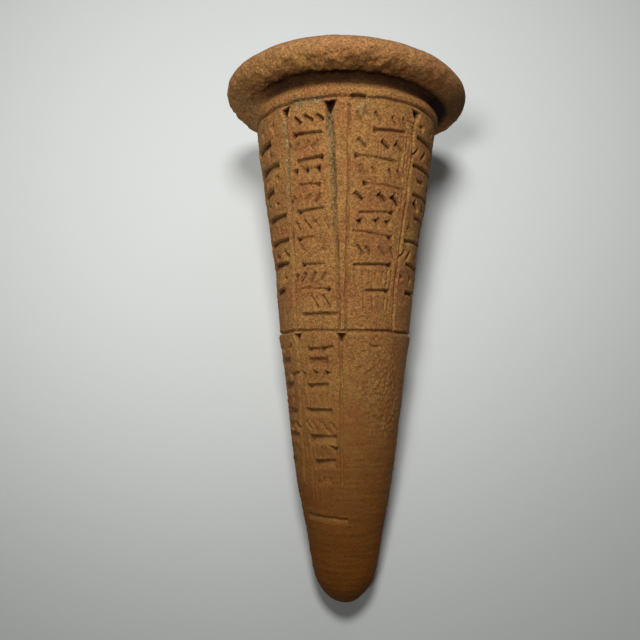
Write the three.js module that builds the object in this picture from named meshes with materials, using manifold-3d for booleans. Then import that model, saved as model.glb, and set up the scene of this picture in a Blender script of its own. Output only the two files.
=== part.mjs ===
// Foundation cone: one piece of baked clay, shaped like a broad nail and written on in wedge strokes.
// It lies on its side, touching the ground with the rim of its head and the side of its nose.
// Millimetres, +Z up, the nose towards -Y and the head towards +Y.
// The origin is on the ground, under the middle of the cone's box.
import * as THREE from "three";
import { mergeVertices } from "three/addons/utils/BufferGeometryUtils.js";
import Module from "manifold-3d";

// The outline. A station is a distance along the cone's own axis from the tip of the nose.
const NOSE_LENGTH = 9;
const NOSE_RADIUS = 7.7;
const NOSE_TAPER = 0.17; // slope where the nose passes into the shaft
const NOSE_BLUNTNESS = 0.85; // 1 is round, less is blunter
const SHAFT = [
  [9, 7.7],
  [22, 10.1],
  [34, 12.1],
  [63, 15.6],
  [82, 17.6],
  [98, 20.0],
  [114, 22.2],
];
const NECK = [
  [114, 22.2],
  [116.2, 22.8],
  [117.4, 23.1],
  [118.4, 22.7],
  [119.3, 22.5],
]; // a smooth collar, and above it the crease under the rim
const RIM_MIDDLE = 122.4;
const RIM_RADIUS = 29.7;
const RIM_ROLL = 4.2; // how far the edge stands out from the middle of its roll
const RIM_HALF = 3.3; // half of the rim's thickness
const RIM_SQUARENESS = 1.6; // 2 is a round edge, less is sharper
const RIM_START = -115; // degrees round the roll to the crease under the rim
const CROWN = 2.2; // how far the middle of the head's face stands over its edge

// What the hand left uneven.
const BOW = 0.3; // sideways drift of the nose from the axis
const BOW_LENGTH = 40;
const OUT_OF_ROUND = 0.22; // on the shaft
const HEAD_OUT_OF_ROUND = 0.08;
const HEAD_LEAN = 1.9; // degrees, the rim's right side towards the nose
const HEAD_NOD = 1.8; // degrees, the rim's underside towards the nose
const HEAD_BLEND = 10; // length over which the shaft passes into the leaning head

// The small flats that it rests on.
const FLAT_DEPTH = 0.35; // how deep the ground plane cuts into the rim and the nose
const GROUND_SIZE = 400;

// The writing. Angles are degrees round the axis from the top of the lying cone, to the right as seen
// with the nose towards the viewer.
const WRITING_TOP = 115.6;
const RING_STATION = 63.3; // a line drawn right round, between the upper and the lower panels
const RING_WIDTH = 1.0;
const RING_DEPTH = 0.45;
const WRITING_END = 21;
const RULE_DROP = 1.4; // from the top of a panel to the press that starts a ruled line
const RULE_PRESS = { head: 2.4, depth: 1.1, tail: 0.9 };
const STROKE_PRESS = { head: 1.6, depth: 0.65, tail: 0.7 };
const ROW_PITCH = 5.8;
const FIRST_ROW = 1.2; // pitches from the top of a panel to its first row's bar
const MARGIN = 1.4; // from a ruled line to the strokes beside it
const NARROWEST_PANEL = 20; // degrees; a narrower gap between ruled lines stays blank
const UPPER_SEED = 1;
const LOWER_SEED = 21;

// Ruled lines as [angle at the panel's top, angle at its bottom], in turn round the cone.
const UPPER_RULES = [
  [-41, -47.5],
  [-11.5, -7],
  [0, -1.5],
  [45, 42],
  [89, 88],
  [132, 133],
  [176, 175],
  [222, 223],
  [271, 268],
  [319, 312.5],
];
const LOWER_RULES = [
  [-141, -146],
  [-93, -98],
  [-46, -54],
  [-4.7, -4.7],
];
const END_LINE = { station: 21, degrees: -60, turn: 0, length: 10.5 };

// Short strokes over a row's long bar, as [share of the width, share of the pitch, turn, length].
// They only give the look of writing: none is a sign.
const GROUPS = [
  [[0.35, 0.75, -120, 2.6], [0.58, 0.75, -120, 2.6], [0.81, 0.75, -120, 2.6]],
  [[0.62, 0.5, 178, 4.6], [0.88, 0.75, -125, 2.4]],
  [[0.3, 0.78, -60, 2.4], [0.5, 0.62, -60, 2.4]],
  [[0.42, 0.5, -4, 4.4], [0.28, 0.78, -125, 2.4]],
  [[0.5, 0.72, -130, 3.0], [0.8, 0.72, -130, 3.0]],
];

// How finely it is faceted.
const SIDES = 32;
const NOSE_STEPS = 5;
const SHAFT_STEPS = 9;
const NECK_STEPS = 4; // one for each of the neck's places
const RIM_STEPS = 9;
const CROWN_STEPS = 3;
const PRESS_STEP = 6; // a long press is bent about this often along its tail
const FINEST = 0.01; // edges shorter than this are closed up as cuts are made
const LIFT = 0.3; // a cutter's open side stands this far outside the clay

const { clamp, degToRad, lerp, mapLinear, radToDeg, smoothstep } = THREE.MathUtils;
const wasm = await Module();
wasm.setup();

// A closed geometry as a solid that can be cut.
function solid(geometry) {
  const bare = geometry.clone();
  bare.deleteAttribute("normal");
  bare.deleteAttribute("uv");
  const merged = mergeVertices(bare, 1e-3);
  return new wasm.Manifold(
    new wasm.Mesh({
      numProp: 3,
      vertProperties: merged.attributes.position.array,
      triVerts: new Uint32Array(merged.index.array),
      tolerance: FINEST,
    }),
  );
}

// A solid as a geometry.
function geometryOf(manifold) {
  const mesh = manifold.getMesh();
  return new THREE.BufferGeometry()
    .setAttribute("position", new THREE.BufferAttribute(mesh.vertProperties, 3))
    .setIndex(new THREE.BufferAttribute(mesh.triVerts, 1));
}

// A point of the rim, by degrees round its roll: 0 is its widest place, 90 the edge of the head's face.
function rimPoint(degrees) {
  const blunt = (x) => Math.sign(x) * Math.abs(x) ** (2 / RIM_SQUARENESS);
  return new THREE.Vector2(
    RIM_RADIUS - RIM_ROLL + RIM_ROLL * blunt(Math.cos(degToRad(degrees))),
    RIM_MIDDLE + RIM_HALF * blunt(Math.sin(degToRad(degrees))),
  );
}

// The outline of one half as (radius, station), from the tip of the nose to the middle of the head's face.
function outline() {
  const points = [];
  for (let i = 0; i < NOSE_STEPS; i++) {
    const turn = (i / NOSE_STEPS) * (Math.PI / 2);
    const station = NOSE_LENGTH * (1 - Math.cos(turn));
    const round = (NOSE_RADIUS - NOSE_TAPER * NOSE_LENGTH) * Math.sin(turn) ** NOSE_BLUNTNESS;
    points.push(new THREE.Vector2(round + NOSE_TAPER * station, station));
  }
  const curve = (places) => new THREE.SplineCurve(places.map(([s, r]) => new THREE.Vector2(r, s)));
  points.push(...curve(SHAFT).getSpacedPoints(SHAFT_STEPS));
  points.push(...curve(NECK).getPoints(NECK_STEPS).slice(1));
  for (let i = 0; i <= RIM_STEPS; i++) points.push(rimPoint(lerp(RIM_START, 90, i / RIM_STEPS)));

  const edge = points[points.length - 1];
  for (let i = 1; i <= CROWN_STEPS; i++) {
    const share = 1 - i / CROWN_STEPS;
    points.push(new THREE.Vector2(edge.x * share, edge.y + CROWN * (1 - share * share)));
  }
  return points;
}

const OUTLINE = outline();

// The outline's radius at a station of the shaft.
function shaftRadius(station) {
  const next = OUTLINE.findIndex((point) => point.y >= station);
  const [low, high] = [OUTLINE[next - 1], OUTLINE[next]];
  return mapLinear(station, low.y, high.y, low.x, high.x);
}

// A point of the uneven clay in the cone's own frame: x to the right, y along the axis, z to the top.
function clayPoint(radius, station, angle) {
  const head = smoothstep(station, RIM_MIDDLE - HEAD_BLEND, RIM_MIDDLE);
  const waves = Math.sin(2 * angle + station / 34) + 0.6 * Math.sin(3 * angle - station / 21);
  const uneven = lerp(OUT_OF_ROUND, HEAD_OUT_OF_ROUND, head) * clamp(radius / NOSE_RADIUS, 0, 1);
  const r = radius + uneven * (waves - 0.4 * Math.cos(5 * angle));
  const [x, z] = [r * Math.sin(angle), r * Math.cos(angle)];
  const drift = BOW * (1 - smoothstep(station, 0, BOW_LENGTH));
  const lean = Math.tan(degToRad(HEAD_LEAN)) * x - Math.tan(degToRad(HEAD_NOD)) * z;
  return new THREE.Vector3(x + drift, station - head * lean, z);
}

// The turned body. A lathe turns about its own y axis, which is the cone's axis.
function body() {
  const lathe = new THREE.LatheGeometry(OUTLINE, SIDES);
  const places = lathe.attributes.position;
  for (let i = 0; i < places.count; i++) {
    const [x, station, z] = [places.getX(i), places.getY(i), places.getZ(i)];
    const p = clayPoint(Math.hypot(x, z), station, Math.atan2(x, z));
    places.setXYZ(i, p.x, p.y, p.z);
  }
  return solid(lathe);
}

// A place on the shaft's surface, with the directions there: to the right, up the shaft and outwards.
function surface(station, degrees) {
  const at = (s, turn) => clayPoint(shaftRadius(s), s, degToRad(turn));
  const point = at(station, degrees);
  const across = at(station, degrees + 1).sub(point).normalize();
  const along = at(station + 0.5, degrees).sub(point).normalize();
  return { point, across, along, out: across.clone().cross(along).normalize() };
}

// One press of the stylus: a deep wide head that narrows to a point, or on a long stroke to a tail that
// bends over the clay. turn is the way the tail runs: 0 to the right, 90 up the shaft.
function press({ station, degrees, turn, length, head, depth, tail }) {
  const [forward, up] = [Math.cos(degToRad(turn)), Math.sin(degToRad(turn))];
  const corner = (distance, sideways, height) => {
    const s = station + up * distance;
    const swing = radToDeg((forward * distance) / shaftRadius(s));
    const { point, across, along, out } = surface(s, degrees + swing);
    return point
      .addScaledVector(across, -up * sideways)
      .addScaledVector(along, forward * sideways)
      .addScaledVector(out, height);
  };
  const grown = (size, deep) => (size * (deep + LIFT)) / deep;
  const points = [];
  const addSection = (distance, back, width, deep) => {
    for (const side of [1, -1]) points.push(corner(distance - back, side * grown(width / 2, deep), LIFT));
    points.push(corner(distance, 0, -deep));
    return points.length - 3;
  };
  let last = addSection(0, grown(head / 2, depth), head, depth);
  let [reached, deep] = [0, depth];
  const triangles = [[last, last + 2, last + 1]];
  for (let distance = 1.5 * head; distance < length - PRESS_STEP / 2; distance += PRESS_STEP) {
    [reached, deep] = [distance, (depth * tail) / head];
    const now = addSection(distance, 0, tail, deep);
    triangles.push([last, last + 1, now + 1], [last, now + 1, now]);
    triangles.push([last, now, now + 2], [last, now + 2, last + 2]);
    triangles.push([last + 1, now + 2, now + 1], [last + 1, last + 2, now + 2]);
    last = now;
  }
  const end = points.push(corner(reached + grown(length - reached, deep), 0, LIFT)) - 1;
  triangles.push([last, last + 1, end], [last, end, last + 2], [last + 1, last + 2, end]);
  return solid(new THREE.BufferGeometry().setFromPoints(points).setIndex(triangles.flat()));
}

// The line drawn round the shaft.
function ringLine() {
  const radius = shaftRadius(RING_STATION);
  const half = ((RING_WIDTH / 2) * (RING_DEPTH + LIFT)) / RING_DEPTH;
  const section = [
    new THREE.Vector2(radius - RING_DEPTH, RING_STATION),
    new THREE.Vector2(radius + LIFT, RING_STATION - half),
    new THREE.Vector2(radius + LIFT, RING_STATION + half),
    new THREE.Vector2(radius - RING_DEPTH, RING_STATION),
  ];
  return solid(new THREE.LatheGeometry(section, SIDES));
}

// A fixed unevenness between 0 and 1 for each place in the writing.
function chance(seed) {
  const x = Math.sin(seed * 12.9898) * 43758.5453;
  return x - Math.floor(x);
}

// One panel's rows of strokes, between two ruled lines. The underside is plainer.
function panelWriting([left, right], top, bottom, seed) {
  const presses = [];
  const angleAt = ([from, to], station) => mapLinear(station, top, bottom, from, to);
  for (let row = 0; top - (row + FIRST_ROW) * ROW_PITCH > bottom + ROW_PITCH / 2; row++) {
    const base = top - (row + FIRST_ROW) * ROW_PITCH;
    const margin = radToDeg(MARGIN / shaftRadius(base));
    const start = angleAt(left, base) + margin;
    const width = angleAt(right, base) - margin - start;
    const drawn = (k) => chance(31 * seed + 7 * row + k);
    const uneven = (k) => drawn(k) - 0.5;
    presses.push(
      press({
        station: base + 0.5 * uneven(1),
        degrees: start + width * (0.1 + 0.1 * uneven(2)),
        turn: 10 * uneven(3),
        length: degToRad(width) * shaftRadius(base) * (0.75 + 0.25 * uneven(4)),
        ...STROKE_PRESS,
      }),
    );
    const group = GROUPS[Math.floor(GROUPS.length * drawn(5))];
    const onUnderside = Math.cos(degToRad(start + width / 2)) < 0;
    group.slice(0, onUnderside ? row % 2 : group.length).forEach(([share, rise, turn, length], k) =>
      presses.push(
        press({
          station: base + (rise + 0.12 * uneven(10 + k)) * ROW_PITCH,
          degrees: start + width * share,
          turn: turn + 16 * uneven(20 + k),
          length,
          ...STROKE_PRESS,
        }),
      ),
    );
  }
  return presses;
}

// The ruled lines and the panels between them, from one line round the cone down to another.
function register(rules, top, bottom, seed) {
  const cuts = [];
  const [start, length] = [top - RULE_DROP, top - RULE_DROP - bottom];
  rules.forEach(([from, to], i) => {
    const drift = degToRad(to - from) * shaftRadius((top + bottom) / 2);
    const turn = radToDeg(Math.atan2(-length, drift));
    const isFirstAgain = from === rules[0][0] + 360;
    if (!isFirstAgain) cuts.push(press({ station: start, degrees: from, turn, length, ...RULE_PRESS }));
    const next = rules[i + 1];
    if (next && next[0] - from > NARROWEST_PANEL)
      cuts.push(...panelWriting([rules[i], next], top, bottom, seed + i));
  });
  return cuts;
}

// Every cut of the writing.
function writing() {
  return [
    ringLine(),
    ...register(UPPER_RULES, WRITING_TOP, RING_STATION, UPPER_SEED),
    ...register(LOWER_RULES, RING_STATION, WRITING_END, LOWER_SEED),
    press({ ...END_LINE, ...STROKE_PRESS }),
  ];
}

// The tilt, in radians, at which the head's rim and the nose touch the ground together.
function restingTilt(points) {
  const isHead = (p) => p.y > WRITING_TOP;
  const [heads, shafts] = [points.filter(isHead), points.filter((p) => !isHead(p))];
  const lowest = (tilt, some) => Math.min(...some.map((p) => p.z * Math.cos(tilt) + p.y * Math.sin(tilt)));
  let [low, high] = [0, Math.PI / 6];
  for (let i = 0; i < 40; i++) {
    const tilt = (low + high) / 2;
    if (lowest(tilt, heads) < lowest(tilt, shafts)) low = tilt;
    else high = tilt;
  }
  return low;
}

// Lays the cone down: turned to its resting tilt, set over the origin and sunk by the flats' depth.
function layDown(geometry) {
  const places = geometry.attributes.position;
  const points = [];
  for (let i = 0; i < places.count; i++) points.push(new THREE.Vector3().fromBufferAttribute(places, i));
  geometry.rotateX(restingTilt(points));
  geometry.computeBoundingBox();
  const { min, max } = geometry.boundingBox;
  return geometry.translate(-(min.x + max.x) / 2, -(min.y + max.y) / 2, -min.z - FLAT_DEPTH);
}

// The ground under it, whose top cuts the flats.
function ground() {
  const block = new THREE.BoxGeometry(GROUND_SIZE, GROUND_SIZE, GROUND_SIZE);
  return solid(block.translate(0, 0, -GROUND_SIZE / 2));
}

const lying = layDown(geometryOf(wasm.Manifold.difference([body(), ...writing()])));
const clay = new THREE.MeshStandardMaterial({ color: 0xa8683c, roughness: 0.92, metalness: 0 });
const cone = new THREE.Mesh(geometryOf(solid(lying).subtract(ground())), clay);
cone.name = "foundation_cone";

const part = new THREE.Group();
part.add(cone);
export default part;
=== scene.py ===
"""A baked clay foundation cone lying on its side on a pale floor. Metres, +Z up, nose towards -Y."""

from math import atan2, ceil, copysign, cos, degrees, floor, hypot, pi, radians, sin, tan

import bpy
from mathutils import Matrix, Vector


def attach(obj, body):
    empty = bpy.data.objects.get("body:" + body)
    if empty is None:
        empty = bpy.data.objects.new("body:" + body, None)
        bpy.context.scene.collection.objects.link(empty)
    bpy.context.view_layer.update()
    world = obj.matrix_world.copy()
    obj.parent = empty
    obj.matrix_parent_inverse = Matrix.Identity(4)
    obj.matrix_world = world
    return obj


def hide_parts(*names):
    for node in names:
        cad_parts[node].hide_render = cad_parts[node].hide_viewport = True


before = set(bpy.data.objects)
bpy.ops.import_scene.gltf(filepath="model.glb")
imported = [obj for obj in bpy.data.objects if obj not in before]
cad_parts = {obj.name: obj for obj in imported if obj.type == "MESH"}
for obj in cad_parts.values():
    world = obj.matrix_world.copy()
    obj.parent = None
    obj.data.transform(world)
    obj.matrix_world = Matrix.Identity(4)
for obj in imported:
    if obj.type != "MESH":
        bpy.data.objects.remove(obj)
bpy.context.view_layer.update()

# The cone's outline: one lump of river clay, rolled by hand to a blunt spike, with its thick end spread and
# rolled back into a round head. A station is a distance from the tip of the nose along the cone's axis.
MM = 0.001
NOSE_LENGTH, NOSE_RADIUS = 9 * MM, 7.7 * MM
NOSE_TAPER, NOSE_BLUNTNESS = 0.17, 0.85
# The shaft, and the neck with its collar, as (station, radius) in millimetres.
SHAFT = [(9, 7.7), (22, 10.1), (34, 12.1), (63, 15.6), (82, 17.6), (98, 20.0), (114, 22.2)]
NECK = [(114, 22.2), (115.0, 22.5), (115.8, 22.9), (116.7, 22.7), (117.8, 22.1), (119.3, 22.3)]
RIM_MIDDLE, RIM_RADIUS = 122.4 * MM, 29.7 * MM
RIM_ROLL, RIM_HALF = 4.2 * MM, 3.3 * MM
RIM_SQUARENESS, RIM_FULLNESS = 1.6, 2.2
RIM_START = -115
CROWN = 2.2 * MM
NOSE_STEP, SHAFT_STEP, RIM_STEP, CROWN_STEP = 0.35 * MM, 0.2 * MM, 0.22 * MM, 0.8 * MM


def nose_path(share):
    """Radius and station on the rounded nose, at a share of the way round it."""
    station = NOSE_LENGTH * (1 - cos(share * pi / 2))
    blunt = (NOSE_RADIUS - NOSE_TAPER * NOSE_LENGTH) * sin(share * pi / 2) ** NOSE_BLUNTNESS
    return blunt + NOSE_TAPER * station, station


def smooth_path(places):
    """A smooth curve through some places given in millimetres as (station, radius)."""

    def path(share):
        i = min(floor(share * (len(places) - 1)), len(places) - 2)
        t = share * (len(places) - 1) - i
        four = (places[min(max(k, 0), len(places) - 1)] for k in range(i - 1, i + 3))
        point = []
        for before, start, end, after in zip(*four):
            leave, arrive = (end - before) / 2, (after - start) / 2
            bend = 3 * (end - start) - 2 * leave - arrive
            point.append(start + t * leave + t**2 * bend + t**3 * (leave + arrive - 2 * (end - start)))
        return point[1] * MM, point[0] * MM

    return path


def rim_path(share):
    """Radius and station on the rolled rim, from the crease under it to the edge of the head's face."""
    turn = radians(RIM_START + share * (90 - RIM_START))
    power = 2 / (RIM_SQUARENESS if turn > 0 else RIM_FULLNESS)
    outwards, upwards = (abs(x) ** power * (1 if x > 0 else -1) for x in (cos(turn), sin(turn)))
    return RIM_RADIUS - RIM_ROLL + RIM_ROLL * outwards, RIM_MIDDLE + RIM_HALF * upwards


def crown_path(share):
    """Radius and station on the head's slightly domed face, from its edge to its middle."""
    radius, station = rim_path(1)
    return radius * (1 - share), station + CROWN * (1 - (1 - share) ** 2)


def spaced(path, step, fineness=400):
    """Points a step apart along a path, without its last point."""
    fine = [path(i / fineness) for i in range(fineness + 1)]
    walked = [0]
    for (r0, s0), (r1, s1) in zip(fine, fine[1:]):
        walked.append(walked[-1] + hypot(r1 - r0, s1 - s0))
    count = ceil(walked[-1] / step)
    points, k = [], 0
    for i in range(count):
        while walked[k + 1] < walked[-1] * i / count:
            k += 1
        share = (walked[-1] * i / count - walked[k]) / (walked[k + 1] - walked[k])
        points.append(tuple(a + share * (b - a) for a, b in zip(fine[k], fine[k + 1])))
    return points


outline = [
    *spaced(nose_path, NOSE_STEP),
    *spaced(smooth_path(SHAFT), SHAFT_STEP),
    *spaced(smooth_path(NECK), RIM_STEP),
    *spaced(rim_path, RIM_STEP),
    *spaced(crown_path, CROWN_STEP),
    crown_path(1),
]

# On the left the crease is filled: the neck flares straight from the collar to the lip of the rim.
COLLAR, LIP = (22.9 * MM, 115.8 * MM), rim_path(0.28)


def nearest_row(radius, station):
    """The row of the outline that is nearest to a place."""
    return min(range(len(outline)), key=lambda i: hypot(outline[i][0] - radius, outline[i][1] - station))


collar_row, lip_row = nearest_row(*COLLAR), nearest_row(*LIP)
flared = list(outline)
for i in range(collar_row, lip_row):
    share = (i - collar_row) / (lip_row - collar_row)
    flared[i] = tuple(a + share * (b - a) for a, b in zip(outline[collar_row], outline[lip_row]))


def radius_at(station):
    """The radius at a station below the rim."""
    k = next(i for i, (_, s) in enumerate(outline) if s >= station)
    (r0, s0), (r1, s1) = outline[k - 1], outline[k]
    return r0 + (r1 - r0) * (station - s0) / (s1 - s0)


# The cone's writing: panels ruled with the edge of a cut reed, and rows of wedges pressed with its corner in
# the damp clay. The rows only give the look of writing. Angles are degrees round the axis from the top.
WRITING_TOP, RING_STATION, WRITING_END = 114.4 * MM, 63.3 * MM, 21 * MM
LOWER_PANELS_END = WRITING_END + 8 * MM
ROW_PITCH, MARGIN = 5.8 * MM, 1.0 * MM
FIRST_ROW, LAST_ROW = 1.2, 0.7
UPPER_SEED, LOWER_SEED = 1, 21
# Ruled lines as (angle at the top, angle at the bottom, width, share of dirt in it, width of its head, width
# of the bars in the panel on its right, or 0 for none), sizes in millimetres.
UPPER_RULES = [
    (-41, -47.5, 1.3, 1.6, 3.6, 1.1),
    (-11.5, -7, 2.0, 1.7, 4.0, 0),
    (0, -1.5, 0.9, 0.35, 0, 1.1),
    (45, 42, 0.9, 0.2, 3.6, 1.2),
    (89, 88, 0.9, 0.5, 2.6, 1.5),
    (132, 133, 0.9, 0.5, 2.6, 1.5),
    (176, 175, 0.9, 0.5, 2.6, 1.5),
    (222, 223, 0.9, 0.5, 2.6, 1.5),
    (271, 268, 0.9, 0.5, 2.6, 2.1),
]
LOWER_RULES = [
    (-141, -146, 0.9, 0.5, 2.6, 1.5),
    (-93, -98, 0.9, 0.5, 2.8, 2.45),
    (-46, -54, 0.9, 0.2, 3.0, 2.45),
    (-4.7, -4.7, 0.9, 0.1, 3.0, 0),
]
RULE_DROP, RULE_DEPTH, RULE_END_WIDTH = 1.4 * MM, 0.75 * MM, 0.8 * MM
RULE_HEAD_RISE, RULE_HEAD_STEEPNESS = 1.1 * MM, 0.8
# A row's long bar: its share of the panel's width, how unevenly it is set, and its most turn in degrees.
BAR_SHARE, BAR_SHARE_SPREAD, BAR_WIDTH_SPREAD = 0.75, 0.45, 0.5
BAR_SHIFT, BAR_TURN, BARS_FROM_LEFT = 0.5 * MM, 10, 0.2
# Strokes between two long bars, all alike and clear of them, as (number, turn, length, width).
GROUPS = [
    (4, -55, 2.4, 1.0),
    (4, 232, 2.4, 1.1),
    (3, -70, 2.4, 2.3),
    (6, -90, 2.8, 0.6),
    (2, -25, 4.2, 3.2),
    (3, -120, 2.2, 2.2),
    (2, 5, 3.2, 1.1),
    (3, -40, 2.7, 1.6),
]
GROUP_INDENT, GROUP_SPREAD, GROUP_LENGTH_SPREAD, GROUP_TURN_SPREAD = 0.3, 0.4, 0.4, 14
# The reed's side makes the broadest strokes, its corner the short ones, and its edge the narrow ones, which
# have a deeper head if they are long.
DENT_FROM, DENT_DEPTH = 3.1 * MM, 0.75 * MM
WEDGE_FROM, WEDGE_LONGEST, WEDGE_DEPTH = 1.6 * MM, 4 * MM, 1.5 * MM
LINE_STEEPNESS, LINE_DEEPEST = 0.85, 1.1 * MM
HEADED_LENGTH, HEADED_WIDTH = 3 * MM, 0.8 * MM
STROKE_HEAD, STROKE_HEAD_EXTRA, STROKE_HEAD_DEPTH = 2.6 * MM, 0.8 * MM, 1.4 * MM
# Combs of fine lines as (station, angle, turn of the lines, turn of the comb, number, spacing, length).
COMBS = [
    (112.6, 37, 0, -90, 6, 0.85, 2.4),
    (107.2, 34, -92, 0, 4, 1.0, 6.5),
    (105.6, 12, -88, 0, 6, 0.8, 3.2),
    (94.5, 33, -92, 0, 3, 1.1, 5.0),
    (78.0, 33, -91, 0, 3, 1.2, 11.0),
    (76.0, 13, -88, 0, 2, 1.8, 10.0),
    (74.0, -36, 4, -90, 4, 0.8, 4.5),
    (103.0, -64, -90, 0, 3, 1.1, 5.5),
    (91.0, -66, -90, 0, 3, 1.2, 5.0),
    (78.0, -69, -90, 0, 4, 1.0, 4.5),
    (46.0, -38, -90, 0, 5, 0.8, 3.5),
    (33.0, -40, -92, 0, 4, 1.3, 8.0),
    (42.0, -74, 0, -90, 5, 0.9, 3.0),
]
COMB_WIDTH, COMB_DEPTH = 0.5 * MM, 0.4 * MM
COMB_TURN_SPREAD, COMB_SHORTEST, COMB_LENGTH_SPREAD = 6, 0.8, 0.4
# Single prints as (station, angle, turn, length, width, depth): the slit over a rule, broad shallow dents of
# the reed's side, and nicks.
SINGLES = [
    (114.3, 1, 0, 3.4, 1.5, 1.4),
    (111.5, 8, -20, 6.0, 3.4, 0.7),
    (99.0, 7, -35, 5.0, 3.4, 0.7),
    (96.0, 20, 160, 6.0, 3.4, 0.7),
    (87.5, 6, -10, 5.0, 3.4, 0.7),
    (84.0, -22, -50, 6.0, 3.4, 0.7),
    (88.5, -14, 200, 5.0, 3.4, 0.7),
    (71.2, -30, -60, 3.2, 1.0, 0.9),
    (71.2, -20, -60, 3.2, 1.0, 0.9),
    (66.8, -40, 0, 9.0, 1.7, 0.8),
    (99.0, -33, 5, 6.0, 3.4, 0.7),
    (59.8, 20, 0, 2.6, 1.0, 0.6),
    (58.4, 12, 10, 1.6, 0.8, 0.4),
    (30.0, -16, 200, 6.0, 3.4, 0.6),
    (41.0, -14, 215, 5.0, 3.4, 0.6),
    (36.4, -9, 150, 3.2, 2.2, 1.9),
    (26.5, -70, -80, 3.0, 1.6, 1.2),
]
SINGLE_WEDGE_FROM = 2
# The lines round the cone, and the short line that ends the writing.
ROUND_WIDTH, ROUND_DEPTH, RING_DIRT, TOP_DIRT = 1.0 * MM, 0.8 * MM, 0.1, 0.6
END_LINE = (WRITING_END, -58), (WRITING_END - 0.6 * MM, 3)
END_WIDTH, END_DEPTH = 1.8 * MM, 0.7 * MM
# A line right round laps over the seam, and a print this near to the seam is noted on both sides of it.
LAPPED_HALF_TURN, NEAR_HALF_TURN = 182, 185
WEDGE, LINE = 0, 1
prints = []


def mark(tool, start, end, width, depth, dirt=0.0):
    """Notes one print of the reed on the clay unrolled flat, from one (station, angle) to another."""
    for turn in (-360, 0, 360):
        if min(abs(start[1] + turn), abs(end[1] + turn)) < NEAR_HALF_TURN:
            ends = [(radians(angle + turn) * radius_at(station), station) for station, angle in (start, end)]
            (x0, y0), (x1, y1) = ends
            size = (hypot(x1 - x0, y1 - y0), copysign(width, x1 - x0), depth)
            prints.append(((x0, y0, 0), tool, atan2(y1 - y0, x1 - x0), size, dirt))


def reach(station, angle, turn, length):
    """The (station, angle) at the end of a stroke."""
    along, across = sin(radians(turn)) * length, cos(radians(turn)) * length
    return station + along, angle + degrees(across / radius_at(station))


def stroke(station, angle, turn, length, width):
    """One stroke: a broad dent, a wedge, or a line."""
    start, end = (station, angle), reach(station, angle, turn, length)
    if width > DENT_FROM:
        mark(WEDGE, start, end, width, DENT_DEPTH)
    elif width > WEDGE_FROM and length < WEDGE_LONGEST:
        mark(WEDGE, start, end, width, WEDGE_DEPTH)
    else:
        mark(LINE, start, end, width, min(LINE_STEEPNESS * width, LINE_DEEPEST))
        if length > HEADED_LENGTH and width > HEADED_WIDTH:
            head_end = reach(station, angle, turn, STROKE_HEAD)
            mark(WEDGE, start, head_end, width + STROKE_HEAD_EXTRA, STROKE_HEAD_DEPTH)


def chance(seed):
    """A fixed unevenness between 0 and 1 for each place in the writing, from the far digits of a sine."""
    x = sin(seed * 12.9898) * 43758.5453
    return x - floor(x)


def panel(left, right, top, bottom, bar_width, seed):
    """One panel's rows of strokes between two ruled lines, plainer on the underside."""
    row = 0
    while top - (row + FIRST_ROW) * ROW_PITCH > bottom + LAST_ROW * ROW_PITCH:
        base = top - (row + FIRST_ROW) * ROW_PITCH
        down = (base - top) / (bottom - top)
        margin = degrees(MARGIN / radius_at(base))
        start = left[0] + down * (left[1] - left[0]) + margin
        width = right[0] + down * (right[1] - right[0]) - margin - start
        uneven = [chance(31 * seed + 7 * row + k) - 0.5 for k in range(30)]
        shift, indent, slant, span, choice, breadth, way = uneven[1:8]
        share = BAR_SHARE + BAR_SHARE_SPREAD * span
        begin = start + width * max(0, 1 - share) * (0.5 + indent)
        length = radians(width) * radius_at(base) * share
        bar = bar_width * (1 + BAR_WIDTH_SPREAD * breadth)
        if way < BARS_FROM_LEFT:
            stroke(base + BAR_SHIFT * shift, begin, BAR_TURN * slant, length, bar)
        else:
            stroke(base + BAR_SHIFT * shift, begin + share * width, 180 + BAR_TURN * slant, length, bar)
        number, turn, long, broad = GROUPS[floor(len(GROUPS) * (choice + 0.5))]
        on_underside = cos(radians(start + width / 2)) < 0
        strokes = range(row % 2 if on_underside else number)
        for k, aside, longer, twist in zip(strokes, uneven[10:], uneven[15:], uneven[20:]):
            share = (k + GROUP_INDENT + GROUP_SPREAD * aside) / number
            long_here = long * MM * (1 + GROUP_LENGTH_SPREAD * longer)
            station = base + ROW_PITCH / 2 - sin(radians(turn)) * long_here / 2
            turn_here = turn + GROUP_TURN_SPREAD * twist
            stroke(station, start + width * share, turn_here, long_here, broad * MM)
        row += 1


def wavering(start, end, width, depth, dirt, step=4 * MM, waver=0.25 * MM):
    """A long line drawn by hand from one (station, angle) to another, which thins out if it runs down."""
    (s0, a0), (s1, a1) = start, end
    pieces = ceil(hypot(s1 - s0, radians(a1 - a0) * radius_at(s0)) / step)
    across = degrees(waver / radius_at(s0))
    is_level = abs(s1 - s0) < step
    places = []
    for k in range(pieces + 1):
        aside = 2 * chance(k + 100 * s0 + a0) - 1
        station = s0 + (s1 - s0) * k / pieces + (waver * aside if is_level else 0)
        places.append((station, a0 + (a1 - a0) * k / pieces + (0 if is_level else across * aside)))
    for k, (here, there) in enumerate(zip(places, places[1:])):
        down = 0 if is_level else k / pieces
        mark(LINE, here, there, width - down * (width - RULE_END_WIDTH), depth, dirt * (1 - down))


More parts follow.
